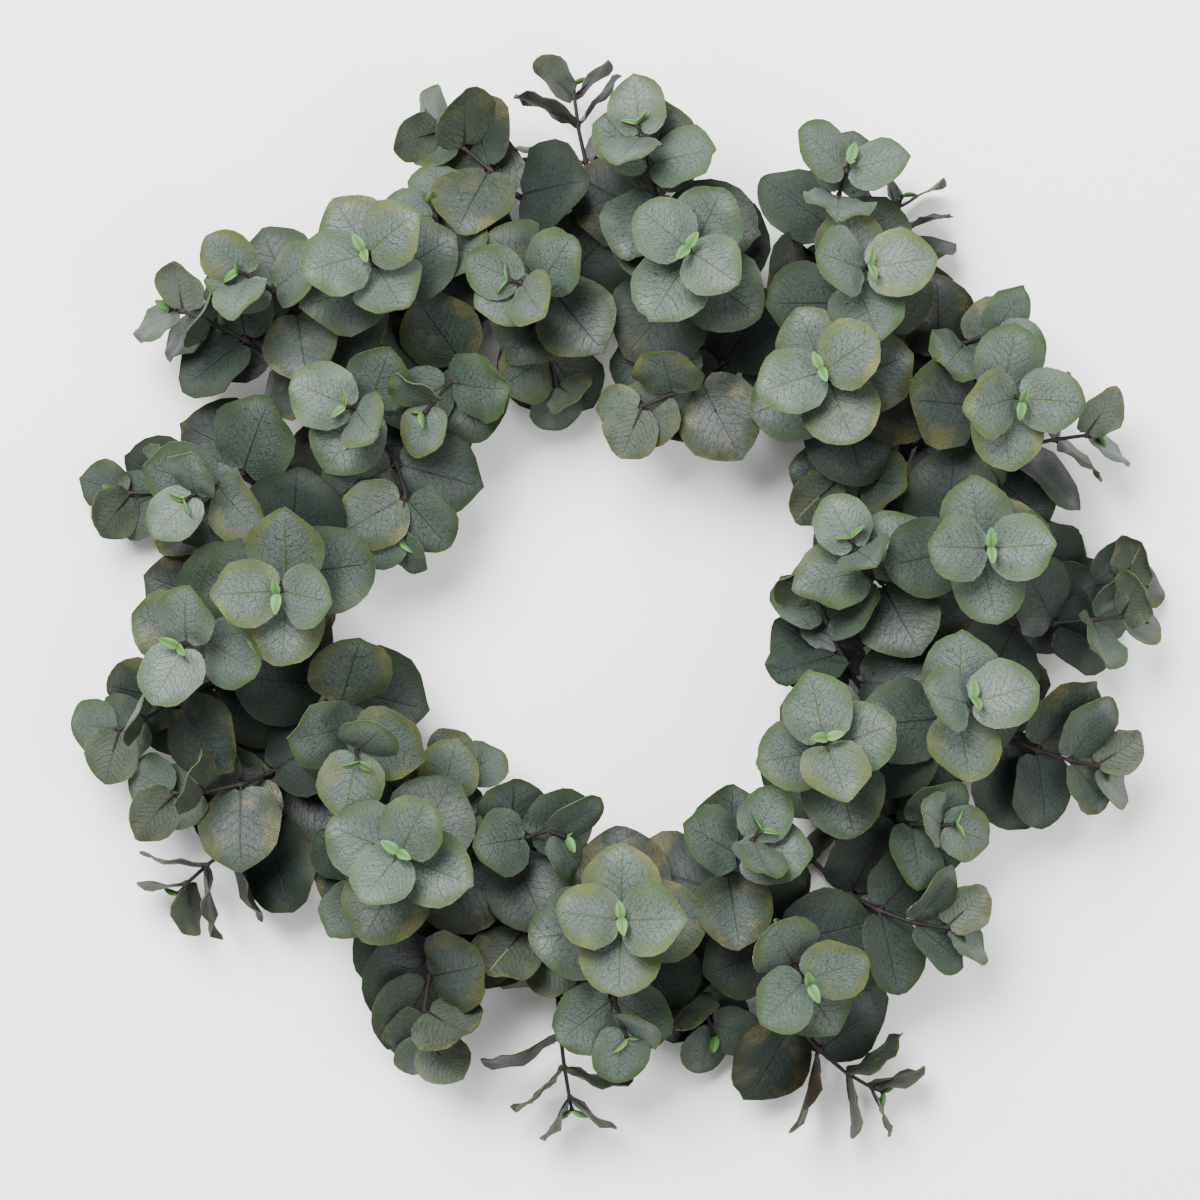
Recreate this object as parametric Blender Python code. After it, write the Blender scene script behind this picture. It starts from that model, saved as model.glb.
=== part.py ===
"""A faux eucalyptus wreath that lies flat on its back.

Metres, +Z up. A hoop of wrapped wire lies on the table, and every leafy spray
springs from it. A spray is one solid: a stem, opposite pairs of round leaves
that turn from pair to pair, and a pair of buds at the tip, end to end.
"""

import math
import random

import bmesh
import bpy
from mathutils import Matrix, Vector
from mathutils.bvhtree import BVHTree

# Layout grid: half a millimetre a step, x to the right and y down, seen from above.
STEP = 0.0005
GRID_CENTRE = (620.5, 600.0)
VIEW_HEIGHT = 2.6

# Hoop
HOOP_CENTRE = (600.0, 608.0)
HOOP_RADIUS = 0.160
HOOP_WIRE = 0.006
HOOP_SIDES = 8
HOOP_STEPS = 36

# Stem
STEM_ROOT = 0.0015
STEM_TIP = 0.0009
STEM_SIDES = 4
SEAT_GAP = 0.0003
HEEL_LENGTH = 0.004

# Leaf: values run from the tip pair down, for a spray seen from its side and
# for one that points at the viewer. Lengths are measured from the stem's axis.
BUD_LENGTH = 0.0075
BUD_BACK = 0.0006
BUD_LIFT = 0.85
SEAT_TO_RING = 0.0024
SIDE_LENGTHS = (0.029, 0.036, 0.043, 0.049, 0.052)
FACE_LENGTHS = (0.035, 0.039, 0.045, 0.051, 0.053)
PAIR_STEPS = (0.0065, 0.016, 0.018, 0.020, 0.021)
FACE_SPREAD = 1.25
SIDE_SWEEPS = (50.0, 38.0, 28.0, 20.0, 14.0)
FACE_SWEEPS = (30.0, 22.0, 15.0, 9.0, 4.0)
LOW_TURN = 0.85
BLADE_RADIUS = 0.46
BLADE_MIDDLE = 0.48
OUTLINE = (21.0, 74.0, 133.0)
NECK_HALF = 0.0010
NECK_AT = 0.0026
HEEL = 0.11
HALF_THICK = 0.0010

# Room that every leaf keeps
FLOOR = 0.0012
OPENING = (-0.01125, -0.01225, 0.080, 0.070)
ROOM = 0.0004
TRIES = 90

# Sprays whose pairs all lie in nearly one plane, and the turn from pair to pair there
FLAT_SPRAYS = (5, 16, 25, 28, 30, 34, 35, 45, 47, 48)
FLAT_STEP = 0.0

# On a level spray, leaves above the stem lie back and those below it fold forward
TILT = 55.0
MOST_SWEEP = 64.0

# One row a spray: tip x, y and height in mm; bend x, y and height in mm;
# angle of its root on the hoop; pairs of leaves; spin of the tip pair; turn to the viewer
SPRAYS = (
    (170, 308, 45, 250, 343, 50, 143, 4, 5, 0.45),
    (238, 272, 84, 285, 300, 64, 136, 4, 95, 0.35),
    (363, 250, 112, 383, 276, 76, 125, 4, 29, 0.25),
    (429, 124, 50, 512, 190, 55, 93, 4, 40, 0.35),
    (574, 84, 34, 587, 168, 42, 86, 4, 8, 0.10),
    (637, 124, 100, 656, 192, 74, 79, 4, 60, 0.30),
    (688, 247, 124, 690, 266, 84, 73, 4, 145, 0.25),
    (508, 280, 96, 545, 288, 76, 97, 4, 60, 0.35),
    (560, 398, 34, 545, 345, 38, 104, 3, 60, 0.65),
    (345, 407, 86, 372, 404, 62, 134, 2, 129, 0.30),
    (423, 414, 74, 455, 375, 60, 113, 4, 142, 0.40),
    (850, 160, 86, 832, 220, 62, 53, 4, 163, 0.35),
    (870, 264, 106, 850, 292, 78, 48, 4, 0, 0.25),
    (821, 368, 116, 834, 386, 74, 41, 4, 20, 0.25),
    (1022, 402, 100, 984, 402, 66, 27, 4, 175, 0.30),
    (1098, 435, 38, 1012, 450, 44, 20, 4, 10, 0.25),
    (630, 410, 58, 690, 385, 60, 60, 5, 30, 0.75),
    (991, 547, 122, 965, 550, 76, 12, 4, 4, 0.25),
    (851, 538, 88, 876, 580, 62, 6, 3, 121, 0.30),
    (811, 581, 50, 845, 662, 50, -22, 4, 45, 0.45),
    (1136, 615, 42, 1026, 625, 44, -3, 4, 45, 0.35),
    (1136, 578, 18, 1036, 590, 20, 3, 4, 50, 0.40),
    (974, 698, 110, 945, 718, 74, -19, 4, 3, 0.25),
    (827, 738, 118, 833, 756, 78, -30, 4, 104, 0.25),
    (1108, 768, 42, 1014, 742, 48, -15, 4, 15, 0.45),
    (956, 824, 68, 905, 824, 56, -37, 4, 70, 0.35),
    (762, 831, 92, 733, 864, 70, -71, 4, 104, 0.30),
    (960, 928, 52, 882, 912, 55, -50, 4, 10, 0.45),
    (810, 985, 92, 788, 955, 60, -61, 4, 27, 0.30),
    (883, 1092, 22, 804, 1034, 32, -67, 4, 4, 0.10),
    (621, 918, 122, 622, 928, 78, -85, 4, 0, 0.25),
    (566, 838, 66, 525, 838, 58, -110, 4, 22, 0.40),
    (398, 852, 116, 408, 862, 74, -125, 4, 60, 0.25),
    (572, 1110, 32, 559, 1019, 40, -97, 4, 2, 0.10),
    (426, 1048, 34, 428, 980, 44, -116, 5, 50, 0.45),
    (627, 1038, 68, 610, 990, 58, -91, 4, 70, 0.60),
    (714, 1036, 26, 694, 985, 28, -79, 3, 20, 0.65),
    (358, 762, 98, 342, 706, 66, 190, 4, 60, 0.30),
    (107, 734, 44, 202, 688, 46, 184, 5, 20, 0.60),
    (162, 793, 50, 240, 785, 50, 206, 5, 20, 0.65),
    (178, 646, 98, 222, 628, 62, 177, 4, 70, 0.30),
    (277, 594, 116, 290, 575, 76, 169, 4, 0, 0.25),
    (184, 500, 84, 232, 478, 62, 153, 4, 90, 0.30),
    (116, 494, 20, 190, 494, 24, 162, 3, 30, 0.40),
    (178, 894, 28, 230, 848, 36, 214, 4, 4, 0.12),
    (358, 898, 60, 366, 874, 50, 226, 3, 60, 0.45),
    (399, 540, 54, 398, 464, 56, 147, 4, 0, 0.90),
    (902, 196, 20, 876, 272, 26, 45, 4, 10, 0.15),
    (824, 478, 42, 860, 480, 44, 25, 3, 20, 0.60),
    (1008, 334, 62, 950, 350, 52, 36, 4, 20, 0.80),
    (468, 766, 44, 428, 806, 48, 216, 3, 30, 0.70),
    (430, 203, 68, 450, 250, 55, 113, 3, 30, 0.70),
    (532, 968, 34, 518, 914, 44, -106, 3, 40, 0.70),
)


def at(x, y, height):
    """The point seen at this place of the layout grid from above, at a height in mm."""
    z = height / 1000.0
    shrink = (VIEW_HEIGHT - z) / VIEW_HEIGHT
    across = (x - 600.0) * STEP * shrink + (600.0 - GRID_CENTRE[0]) * STEP
    up = (600.0 - y) * STEP * shrink + (GRID_CENTRE[1] - 600.0) * STEP
    return Vector((across, up, z))


def hoop_point(angle):
    """Core of the hoop's wire at an angle, and the way out of the straight side there."""
    half = math.pi / HOOP_STEPS
    middle = (math.floor(angle / (2 * half)) + 0.5) * 2 * half
    radius = HOOP_RADIUS * math.cos(half) / math.cos(angle - middle)
    flat = HOOP_WIRE * math.cos(math.pi / HOOP_SIDES)
    core = at(HOOP_CENTRE[0], HOOP_CENTRE[1], 0.0)
    core += Vector((math.cos(angle) * radius, math.sin(angle) * radius, flat))
    return core, Vector((math.cos(middle), math.sin(middle), 0.0))


def hoop_solid():
    points = []
    faces = []
    for i in range(HOOP_STEPS):
        angle = 2 * math.pi * i / HOOP_STEPS
        core = hoop_point(angle)[0]
        outward = Vector((math.cos(angle), math.sin(angle), 0.0))
        for k in range(HOOP_SIDES):
            a = 2 * math.pi * (k + 0.5) / HOOP_SIDES
            lift = Vector((0, 0, HOOP_WIRE * math.sin(a)))
            points.append(core + outward * (HOOP_WIRE * math.cos(a)) + lift)
    for i in range(HOOP_STEPS):
        n = (i + 1) % HOOP_STEPS
        for k in range(HOOP_SIDES):
            m = (k + 1) % HOOP_SIDES
            a, b = i * HOOP_SIDES + k, i * HOOP_SIDES + m
            c, d = n * HOOP_SIDES + m, n * HOOP_SIDES + k
            faces.append((a, d, c, b))
    return points, faces


def stem_line(row, count=24):
    """Points along the stem from its heel, square on a flat of the hoop, to its tip."""
    tip = at(*row[0:3])
    bend = at(*row[3:6])
    core, outward = hoop_point(math.radians(row[6]))
    away = bend - core
    lean = math.atan2(away.z, away.dot(outward))
    lean = math.radians(min(180, max(0, 45 * round(math.degrees(lean) / 45))))
    side = outward * math.cos(lean) + Vector((0, 0, math.sin(lean)))
    heel = core + side * (HOOP_WIRE * math.cos(math.pi / HOOP_SIDES) + SEAT_GAP)
    root = heel + side * HEEL_LENGTH
    pull = bend * 2.0 - (root + tip) * 0.5
    line = [heel]
    for i in range(count + 1):
        t = i / count
        line.append(root * (1 - t) ** 2 + pull * 2 * t * (1 - t) + tip * t * t)
    return line


def along(line, back):
    """The point at a distance back from the tip."""
    for i in range(len(line) - 1, 0, -1):
        piece = line[i - 1] - line[i]
        if back <= piece.length or i == 1:
            return line[i] + piece.normalized() * min(back, piece.length)
        back -= piece.length


def skeleton(index, row):
    """Centres of the stem's rings from the tip down, its frame at each, and the pairs' seats."""
    line = stem_line(row)
    whole = sum((line[i] - line[i - 1]).length for i in range(1, len(line)))
    draw = random.Random(500 + index)
    facing = min(1.0, max(0.0, ((line[-1] - line[-4]).normalized().z - 0.25) / 0.5))
    seats = [BUD_BACK]
    for pair in range(row[7]):
        step = PAIR_STEPS[pair] * draw.uniform(0.92, 1.08)
        if pair > 1:
            step *= 1 + (FACE_SPREAD - 1) * facing
        seats.append(seats[-1] + step)
    limit = whole - HEEL_LENGTH - 0.008
    if seats[-1] > limit:
        seats = [BUD_BACK + (s - BUD_BACK) * (limit - BUD_BACK) / (seats[-1] - BUD_BACK) for s in seats]
    backs = [0.0, BUD_BACK + 0.0012] + [s + SEAT_TO_RING for s in seats[1:]]
    if whole - backs[-1] > 0.055:
        backs.append((backs[-1] + whole) / 2)
    backs += [whole - HEEL_LENGTH, whole]
    centres = [along(line, b) for b in backs]
    sides = []
    ahead = (centres[0] - centres[1]).normalized()
    if ahead.z > 0.35:
        angle = math.radians(row[8])
        first = Vector((math.cos(angle), math.sin(angle), 0.0))
        first.z = -first.dot(ahead) / ahead.z
    else:
        level = Vector((0, 0, 1)).cross(ahead).normalized()
        first = Matrix.Rotation(math.radians(row[8]), 3, ahead) @ level
    for i in range(len(centres)):
        if i:
            ahead = (centres[i - 1] - centres[i]).normalized()
        first = (first - ahead * first.dot(ahead)).normalized()
        sides.append((first.copy(), ahead.copy()))
    places = []
    for i, seat in enumerate(seats):
        part = (seat - backs[i]) / (backs[i + 1] - backs[i])
        places.append(centres[i].lerp(centres[i + 1], part))
    return centres, sides, places


def blade_edge(theta):
    """Half outline: place along the midrib and half width, over the leaf's length."""
    r = BLADE_RADIUS
    r *= 1 + 0.06 * math.exp(-((theta / 0.26) ** 2))
    r *= 1 - 0.12 * math.exp(-(((math.pi - theta) / 0.42) ** 2))
    return BLADE_MIDDLE + r * math.cos(theta), r * math.sin(theta)


def blade_rise(u, v, form):
    """Height of the blade's middle surface off the flat, over the leaf's length."""
    cup = form["cup"] * (v / 0.44) ** 2 * min(1.0, max(0.0, u * 2.5))
    arch = form["arch"] * (u - 0.15) * abs(u - 0.15)
    edge = min(1.0, math.hypot(u - BLADE_MIDDLE, v) / BLADE_RADIUS) ** 4
    wave = form["wave"] * math.sin(form["waves"] * math.atan2(v, u - BLADE_MIDDLE) + form["phase"])
    return cup + arch + wave * edge


def blade_frame(leaf, change):
    """Root and axes of a leaf: along the midrib, across it, and out of its upper face."""
    point, stalk, radial, sweep, turn = leaf["seat"]
    sweep = math.radians(sweep) + change[0]
    rib = radial * math.cos(sweep) + stalk * math.sin(sweep)
    face = stalk * math.cos(sweep) - radial * math.sin(sweep)
    rib = Matrix.Rotation(change[1], 3, face) @ rib
    up = Vector((0, 0, 1)) - rib * rib.z
    if up.length > 0.05:
        up.normalize()
        angle = math.atan2(rib.dot(face.cross(up)), face.dot(up))
        if abs(angle) > math.pi * 0.62:
            angle -= math.copysign(math.pi, angle)
        face = Matrix.Rotation(angle * turn, 3, rib) @ face
    face = Matrix.Rotation(change[2], 3, rib) @ face
    across = face.cross(rib).normalized()
    return point, rib.normalized(), across, face.normalized()


def blade_solid(leaf, change, fuller=1.0, thicker=0.0, rooted=True):
    """Points and triangles of a leaf, cut alike on both faces."""
    point, rib, across, face = blade_frame(leaf, change)
    size = leaf["size"] * change[3]
    form = leaf["form"]

    def place(u, v, lift):
        rise = abs(u) * BUD_LIFT if leaf["bud"] else blade_rise(u, v, form)
        rise = rise * size + lift
        return point + rib * (u * size) + across * (v * size) + face * rise

    if leaf["bud"]:
        half = [(0.0, 0.26)]
        ribs = [(0.0, 0.0015)]
        root = -1.0
    else:
        edge = [blade_edge(math.radians(a)) for a in reversed(OUTLINE)]
        half = [(BLADE_MIDDLE + (u - BLADE_MIDDLE) * fuller, v * fuller) for u, v in edge]
        ribs = [(HEEL if rooted else 0.2, HALF_THICK)]
        root = -0.0002 / size if rooted else 0.1
        if rooted:
            half.insert(0, (NECK_AT / size, NECK_HALF / size))
    tip = 1.0 if leaf["bud"] else BLADE_MIDDLE + (blade_edge(0.0)[0] - BLADE_MIDDLE) * fuller
    end = [(tip, 0.0)] if leaf["bud"] else []
    ring = [(root, 0.0)] + half + end + [(u, -v) for u, v in reversed(half)]
    points = [place(u, v, 0.0) for u, v in ring]
    first = len(points)
    points += [place(u, 0.0, t + thicker) for u, t in ribs]
    points += [place(u, 0.0, -t - thicker) for u, t in ribs]
    count = len(ring)
    near = []
    for i in range(count):
        middle = (ring[i][0] + ring[(i + 1) % count][0]) / 2
        near.append(min(range(len(ribs)), key=lambda k: abs(ribs[k][0] - middle)))
    top = []
    for i in range(count):
        ahead = (i + 1) % count
        top.append((i, first + near[i], ahead))
        step = 1 if near[ahead] > near[i] else -1
        for j in range(near[i], near[ahead], step):
            top.append((ahead, first + j, first + j + step))
    shift = len(ribs)
    bottom = []
    for face_points in top:
        swap = [p + shift if p >= first else p for p in face_points]
        bottom.append((swap[0], swap[2], swap[1]))
    return points, top + bottom


def stem_solid(bones):
    """Points and faces of the stem, a thin taper whose flats meet the leaf stalks."""
    centres, sides, _ = bones
    points = []
    faces = []
    last = len(centres) - 1
    for i, here in enumerate(centres):
        side, ahead = sides[i]
        other = ahead.cross(side)
        r = STEM_TIP + (STEM_ROOT - STEM_TIP) * i / last
        for k in range(STEM_SIDES):
            a = 2 * math.pi * (k + 0.5) / STEM_SIDES
            points.append(here + side * (r * math.cos(a)) + other * (r * math.sin(a)))
    for i in range(last):
        for k in range(STEM_SIDES):
            a = i * STEM_SIDES + k
            b = i * STEM_SIDES + (k + 1) % STEM_SIDES
            faces.append((a, a + STEM_SIDES, b + STEM_SIDES))
            faces.append((a, b + STEM_SIDES, b))
    faces.append(tuple(range(STEM_SIDES)))
    end = last * STEM_SIDES
    faces.append(tuple(range(end + STEM_SIDES - 1, end - 1, -1)))
    return points, faces


def leaves_of(index, row, bones):
    """Every leaf and bud of a spray, before it is bent clear."""
    draw = random.Random(1000 + index)
    centres, sides, places = bones
    facing = min(1.0, max(0.0, (sides[0][1].z - 0.25) / 0.5))
    step = FLAT_STEP if index + 1 in FLAT_SPRAYS else 90.0
    made = []
    for pair, point in enumerate(places):
        first, stalk = sides[pair + 1]
        twist = (pair - 1) * math.radians(step) + draw.uniform(-0.14, 0.14)
        for way in (0.0, math.pi) if pair else (0.0,):
            radial = Matrix.Rotation(twist + way, 3, stalk) @ first
            bud = pair == 0
            if bud:
                size, sweep, turn = BUD_LENGTH, 0.0, 0.1
            else:
                size = SIDE_LENGTHS[pair - 1] * (1 - facing) + FACE_LENGTHS[pair - 1] * facing
                sweep = SIDE_SWEEPS[pair - 1] * (1 - facing) + FACE_SWEEPS[pair - 1] * facing
                size *= draw.uniform(0.94, 1.06)
                sweep += draw.uniform(-7, 7)
                sweep -= TILT * (1 - facing) * radial.z * draw.uniform(0.7, 1.1)
                sweep = min(sweep, MOST_SWEEP)
                turn = row[9] * draw.uniform(0.7, 1.3)
                if pair > (2 if step > 45 else 3):
                    turn += (LOW_TURN - turn) * (pair - 2) / 3
            form = {
                "cup": draw.uniform(0.0, 0.05),
                "arch": 0.0 if bud else draw.uniform(-0.20, 0.0),
                "wave": 0.0 if bud else draw.uniform(0.010, 0.026),
                "waves": draw.choice((3, 4, 5)),
                "phase": draw.uniform(0, 6.28),
            }
            made.append(
                {
                    "spray": index,
                    "bud": bud,
                    "pair": pair,
                    "size": size,
                    "seat": (point, stalk, radial, sweep, turn),
                    "form": form,
                    "seed": draw.randrange(10**6),
                }
            )
    return made


def body_of(points, faces):
    low = Vector([min(p[i] for p in points) for i in range(3)])
    high = Vector([max(p[i] for p in points) for i in range(3)])
    return BVHTree.FromPolygons(points, faces), low, high


def clash(a, b):
    for i in range(3):
        if a[1][i] > b[2][i] or b[1][i] > a[2][i]:
            return False
    return bool(a[0].overlap(b[0]))


def in_opening(points):
    x, y, wide, high = OPENING
    return any(((p.x - x) / wide) ** 2 + ((p.y - y) / high) ** 2 < 1 for p in points)


def lay_out():
    """The stems, and each leaf with the small bend that keeps it clear of all others."""
    bones = [skeleton(index, row) for index, row in enumerate(SPRAYS)]
    stems = [body_of(*stem_solid(bone)) for bone in bones]
    hoop = body_of(*hoop_solid())
    leaves = []
    for index, row in enumerate(SPRAYS):
        leaves += leaves_of(index, row, bones[index])
    ordered = []
    for number, leaf in enumerate(leaves):
        point, rib, _, _ = blade_frame(leaf, (0, 0, 0, 1))
        height = point.z + rib.z * leaf["size"] * 0.5
        ordered.append((0 if leaf["bud"] else 1, -round(height, 5), number))
    ordered.sort()
    placed = []
    for _, _, number in ordered:
        leaf = leaves[number]
        draw = random.Random(leaf["seed"])
        leaf["change"] = None
        for go in range(TRIES):
            reach = go / TRIES
            small = 1.0 - 0.25 * max(0.0, reach - 0.5)
            change = (
                draw.uniform(-1, 1) * 0.85 * reach,
                draw.uniform(-1, 1) * 0.75 * reach,
                draw.uniform(-1, 1) * 1.30 * reach,
                small,
            )
            points, faces = blade_solid(leaf, change, 1.06, ROOM)
            if min(p.z for p in points) < FLOOR or in_opening(points):
                continue
            whole = body_of(points, faces)
            if clash(whole, hoop):
                continue
            if any(k != leaf["spray"] and clash(whole, stems[k]) for k in range(len(stems))):
                continue
            part = whole
            if not leaf["bud"]:
                part = body_of(*blade_solid(leaf, change, 1.04, ROOM, False))
            hit = False
            for other in placed:
                if other["spray"] == leaf["spray"]:
                    if other["bud"] or leaf["bud"]:
                        continue
                    hit = clash(part, other["part"])
                else:
                    hit = clash(whole, other["whole"])
                if hit:
                    break
            if hit:
                continue
            leaf["change"] = change
            leaf["whole"] = whole
            leaf["part"] = part
            placed.append(leaf)
            break
    return bones, [leaf for leaf in leaves if leaf["change"]]


def object_of(name, points, faces, collection):
    mesh = bpy.data.meshes.new(name)
    mesh.from_pydata([tuple(p) for p in points], [], faces)
    bm = bmesh.new()
    bm.from_mesh(mesh)
    bmesh.ops.triangulate(bm, faces=bm.faces)
    bmesh.ops.recalc_face_normals(bm, faces=bm.faces)
    bm.to_mesh(mesh)
    bm.free()
    made = bpy.data.objects.new(name, mesh)
    collection.objects.link(made)
    return made


def material_of(name, colour, roughness):
    made = bpy.data.materials.new(name)
    made.use_nodes = True
    shader = made.node_tree.nodes["Principled BSDF"]
    shader.inputs["Base Color"].default_value = (*colour, 1.0)
    shader.inputs["Roughness"].default_value = roughness
    shader.inputs["Metallic"].default_value = 0.0
    return made


def fuse(keep, collection):
    """One union of the stem with all that grows from it, applied."""
    union = keep.modifiers.new("union", "BOOLEAN")
    union.operation = "UNION"
    union.operand_type = "COLLECTION"
    union.collection = collection
    union.solver = "EXACT"
    bpy.context.view_layer.update()
    graph = bpy.context.evaluated_depsgraph_get()
    mesh = bpy.data.meshes.new_from_object(keep.evaluated_get(graph))
    keep.modifiers.clear()
    old = keep.data
    keep.data = mesh
    bpy.data.meshes.remove(old)
    for extra in list(collection.objects):
        bpy.data.objects.remove(extra)
    bpy.data.collections.remove(collection)
    keep_largest(mesh)


def keep_largest(mesh):
    """Fills a hollow that fusing sealed and drops a loose scrap, so that one body is left."""
    bm = bmesh.new()
    bm.from_mesh(mesh)
    left = set(bm.verts)
    shells = []
    while left:
        shell = set()
        edge = [left.pop()]
        while edge:
            here = edge.pop()
            shell.add(here)
            for other in (e.other_vert(here) for e in here.link_edges):
                if other in left:
                    left.remove(other)
                    edge.append(other)
        shells.append(shell)
    shells.sort(key=len)
    for shell in shells[:-1]:
        bmesh.ops.delete(bm, geom=list(shell), context="VERTS")
    bm.to_mesh(mesh)
    bm.free()


def build_hoop():
    hoop = object_of("base_ring", *hoop_solid(), bpy.context.scene.collection)
    for face in hoop.data.polygons:
        face.use_smooth = True
    return hoop


def main():
    for old in list(bpy.data.objects):
        bpy.data.objects.remove(old)
    hoop = build_hoop()
    hoop.data.materials.append(material_of("stem_wrap", (0.035, 0.028, 0.020), 0.75))
    bones, leaves = lay_out()
    for index, bone in enumerate(bones):
        name = f"spray_{index + 1:02d}"
        points, faces = stem_solid(bone)
        stem = object_of(name, points, faces, bpy.context.scene.collection)
        grown = bpy.data.collections.new(name + "_growth")
        bpy.context.scene.collection.children.link(grown)
        for number, leaf in enumerate(leaves):
            if leaf["spray"] == index:
                points, faces = blade_solid(leaf, leaf["change"], 1.02)
                object_of(f"{name}_{number}", points, faces, grown)
        fuse(stem, grown)
        stem.data.materials.clear()
        stem.data.materials.append(material_of(name + "_leaf", (0.15, 0.19, 0.125), 0.5))


if __name__ == "__main__":
    main()
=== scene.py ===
"""Looks of the faux eucalyptus wreath: cloth leaves, stems, buds and the wound ring."""

import math
import random

import bmesh
import bpy
from mathutils import Matrix, Vector
from mathutils.bvhtree import BVHTree


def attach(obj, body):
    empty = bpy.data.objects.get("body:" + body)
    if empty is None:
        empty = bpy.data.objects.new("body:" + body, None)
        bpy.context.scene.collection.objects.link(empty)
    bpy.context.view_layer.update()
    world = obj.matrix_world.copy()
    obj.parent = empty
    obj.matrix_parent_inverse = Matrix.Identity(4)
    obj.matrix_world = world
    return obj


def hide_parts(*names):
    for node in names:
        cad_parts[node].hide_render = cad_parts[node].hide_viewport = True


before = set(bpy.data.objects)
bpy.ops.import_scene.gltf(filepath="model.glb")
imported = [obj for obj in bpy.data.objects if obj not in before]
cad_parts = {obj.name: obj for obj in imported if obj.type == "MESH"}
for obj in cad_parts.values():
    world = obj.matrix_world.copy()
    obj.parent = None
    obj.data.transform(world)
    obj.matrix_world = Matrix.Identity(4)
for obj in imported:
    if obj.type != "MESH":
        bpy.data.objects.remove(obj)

bl_info = {
    "name": "Eucalyptus wreath",
    "version": (1, 0, 0),
    "blender": (4, 5, 0),
    "location": "View3D > Sidebar > Wreath",
    "description": "Dresses a wreath of faux eucalyptus sprays in cloth leaves on wrapped wire",
    "category": "Object",
}

# Layout grid: half a millimetre a step, x to the right and y down, seen from above.
STEP = 0.0005
GRID_CENTRE = (620.5, 600.0)
VIEW_HEIGHT = 2.6

# Hoop
HOOP_CENTRE = (600.0, 608.0)
HOOP_RADIUS = 0.160
HOOP_WIRE = 0.006
HOOP_SIDES = 8
HOOP_STEPS = 36

# Stem
STEM_ROOT = 0.0015
STEM_TIP = 0.0009
STEM_SIDES = 4
SEAT_GAP = 0.0003
HEEL_LENGTH = 0.004

# Leaf: values run from the tip pair down, for a spray seen from its side and
# for one that points at the viewer. Lengths are measured from the stem's axis.
BUD_LENGTH = 0.0075
BUD_BACK = 0.0006
BUD_LIFT = 0.85
SEAT_TO_RING = 0.0024
SIDE_LENGTHS = (0.029, 0.036, 0.043, 0.049, 0.052)
FACE_LENGTHS = (0.035, 0.039, 0.045, 0.051, 0.053)
PAIR_STEPS = (0.0065, 0.016, 0.018, 0.020, 0.021)
FACE_SPREAD = 1.25
SIDE_SWEEPS = (50.0, 38.0, 28.0, 20.0, 14.0)
FACE_SWEEPS = (30.0, 22.0, 15.0, 9.0, 4.0)
LOW_TURN = 0.85
BLADE_RADIUS = 0.46
BLADE_MIDDLE = 0.48
OUTLINE = (21.0, 74.0, 133.0)
NECK_HALF = 0.0010
NECK_AT = 0.0026
HEEL = 0.11
HALF_THICK = 0.0010

# Room that every leaf keeps
FLOOR = 0.0012
OPENING = (-0.01125, -0.01225, 0.080, 0.070)
ROOM = 0.0004
TRIES = 90

# Sprays whose pairs all lie in nearly one plane, and the turn from pair to pair there
FLAT_SPRAYS = (5, 16, 25, 28, 30, 34, 35, 45, 47, 48)
FLAT_STEP = 0.0

# On a level spray, leaves above the stem lie back and those below it fold forward
TILT = 55.0
MOST_SWEEP = 64.0

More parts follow.
